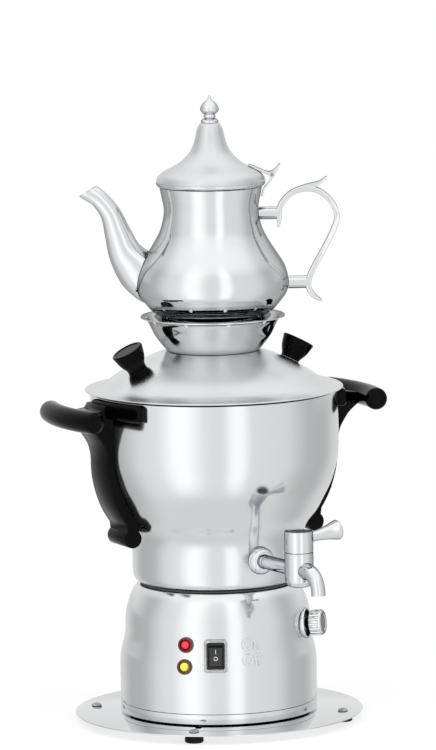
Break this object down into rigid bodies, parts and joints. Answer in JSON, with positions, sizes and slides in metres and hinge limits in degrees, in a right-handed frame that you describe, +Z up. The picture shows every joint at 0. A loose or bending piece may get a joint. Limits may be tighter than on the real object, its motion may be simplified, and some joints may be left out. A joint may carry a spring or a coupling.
{
  "type": "electric samovar with a teapot on top",
  "caption": "Waisted steel water boiler on a lower base, with a lever tap, thermostat, side handles and a lidded teapot kept warm in a bowl on the lid.",
  "frame": {"origin": "centre of the footprint, on the surface that the rubber feet stand on", "axes": "+Z up, -Y out of the front through the tap, +X towards the side that the tap lever points to"},
  "size_m": [0.2918, 0.2848, 0.523],
  "materials": {
    "mirror_polished_steel": "mirror polished stainless steel",
    "satin_stainless_steel": "satin polished stainless steel",
    "matt_brushed_steel": "matt brushed stainless steel",
    "chromed_brass": "bright chrome plating",
    "zinc_plated_steel": "plated, dull",
    "black_bakelite": "moulded, glossy",
    "black_nylon": "moulded, satin",
    "black_rubber": "matt",
    "clear_splash_frame": "clear, glossy",
    "dark_brown_bezel": "moulded, glossy",
    "dark_red_bezel": "moulded, glossy",
    "red_lens": "tinted, glossy",
    "amber_lens": "tinted, glossy",
    "white_ceramic": "unglazed"
  },
  "bodies": {
    "root": {"foot_plate": "mirror_polished_steel", "rubber_foot_1": "black_rubber", "rubber_foot_2": "black_rubber", "rubber_foot_3": "black_rubber", "rubber_foot_4": "black_rubber", "foot_screw_1": "zinc_plated_steel", "foot_screw_2": "zinc_plated_steel", "foot_screw_3": "zinc_plated_steel", "foot_screw_4": "zinc_plated_steel", "centre_bolt": "zinc_plated_steel", "base_floor": "zinc_plated_steel", "base_trim_ring": "satin_stainless_steel", "base_shell": "satin_stainless_steel", "base_gasket": "black_rubber", "vessel": "satin_stainless_steel", "heating_element": "zinc_plated_steel", "element_nut_1": "zinc_plated_steel", "element_nut_2": "zinc_plated_steel", "boil_dry_cutout": "white_ceramic", "terminal_block": "white_ceramic", "thermostat_body": "white_ceramic", "thermostat_dial_plate": "mirror_polished_steel", "thermostat_dial_disc": "black_nylon", "switch_frame": "clear_splash_frame", "switch_body": "black_nylon", "lamp_red_bezel": "dark_red_bezel", "lamp_red_lens": "red_lens", "lamp_amber_bezel": "dark_brown_bezel", "lamp_amber_lens": "amber_lens", "power_inlet": "black_nylon", "tap_flange": "chromed_brass", "tap_nut": "zinc_plated_steel", "tap_body": "chromed_brass", "handle_bracket_left": "black_bakelite", "handle_bracket_right": "black_bakelite", "handle_grip_left": "black_bakelite", "handle_grip_right": "black_bakelite", "handle_screw_left": "zinc_plated_steel", "handle_screw_right": "zinc_plated_steel"},
    "lid": {"lid": "matt_brushed_steel", "lid_knob_left": "black_bakelite", "lid_knob_right": "black_bakelite", "teapot_stand": "mirror_polished_steel"},
    "teapot": {"teapot_body": "mirror_polished_steel", "teapot_strainer": "satin_stainless_steel", "teapot_spout": "mirror_polished_steel", "teapot_handle": "mirror_polished_steel", "teapot_hinge_bracket": "mirror_polished_steel", "teapot_hinge_pin": "zinc_plated_steel"},
    "teapot_lid": {"teapot_lid": "matt_brushed_steel", "teapot_lid_tab": "mirror_polished_steel", "teapot_finial": "chromed_brass"},
    "tap_lever": {"tap_lever": "chromed_brass", "tap_head": "chromed_brass", "tap_head_disc": "black_nylon", "tap_plug": "zinc_plated_steel"},
    "thermostat_knob": {"thermostat_knob": "chromed_brass", "thermostat_spindle": "zinc_plated_steel"},
    "switch_rocker": {"switch_rocker": "black_nylon"}
  },
  "joints": [
    {"name": "lid_lift", "type": "slide", "parent": "root", "child": "lid", "axis": [0, 0, 1], "range_m": [0, 0.06]},
    {"name": "teapot_lift", "type": "slide", "parent": "lid", "child": "teapot", "axis": [0, 0, 1], "range_m": [0, 0.06]},
    {"name": "teapot_lid_hinge", "type": "hinge", "parent": "teapot", "child": "teapot_lid", "pos_m": [0.04346, -0.00371, 0.4562], "axis": [0.515, 0.8572, 0], "range_deg": [0, 90]},
    {"name": "tap_lever_turn", "type": "hinge", "parent": "root", "child": "tap_lever", "pos_m": [0, -0.1076, 0.158], "axis": [0, 0, 1], "range_deg": [-90, 0]},
    {"name": "thermostat_turn", "type": "hinge", "parent": "root", "child": "thermostat_knob", "pos_m": [0.05115, -0.03542, 0.0835], "axis": [0.6593, -0.7452, 0.0996], "range_deg": [-270, 0]},
    {"name": "rocker_tilt", "type": "hinge", "parent": "root", "child": "switch_rocker", "pos_m": [-0.04231, -0.04375, 0.06654], "axis": [0.8425, -0.5388, 0], "range_deg": [-16, 0]}
  ]
}
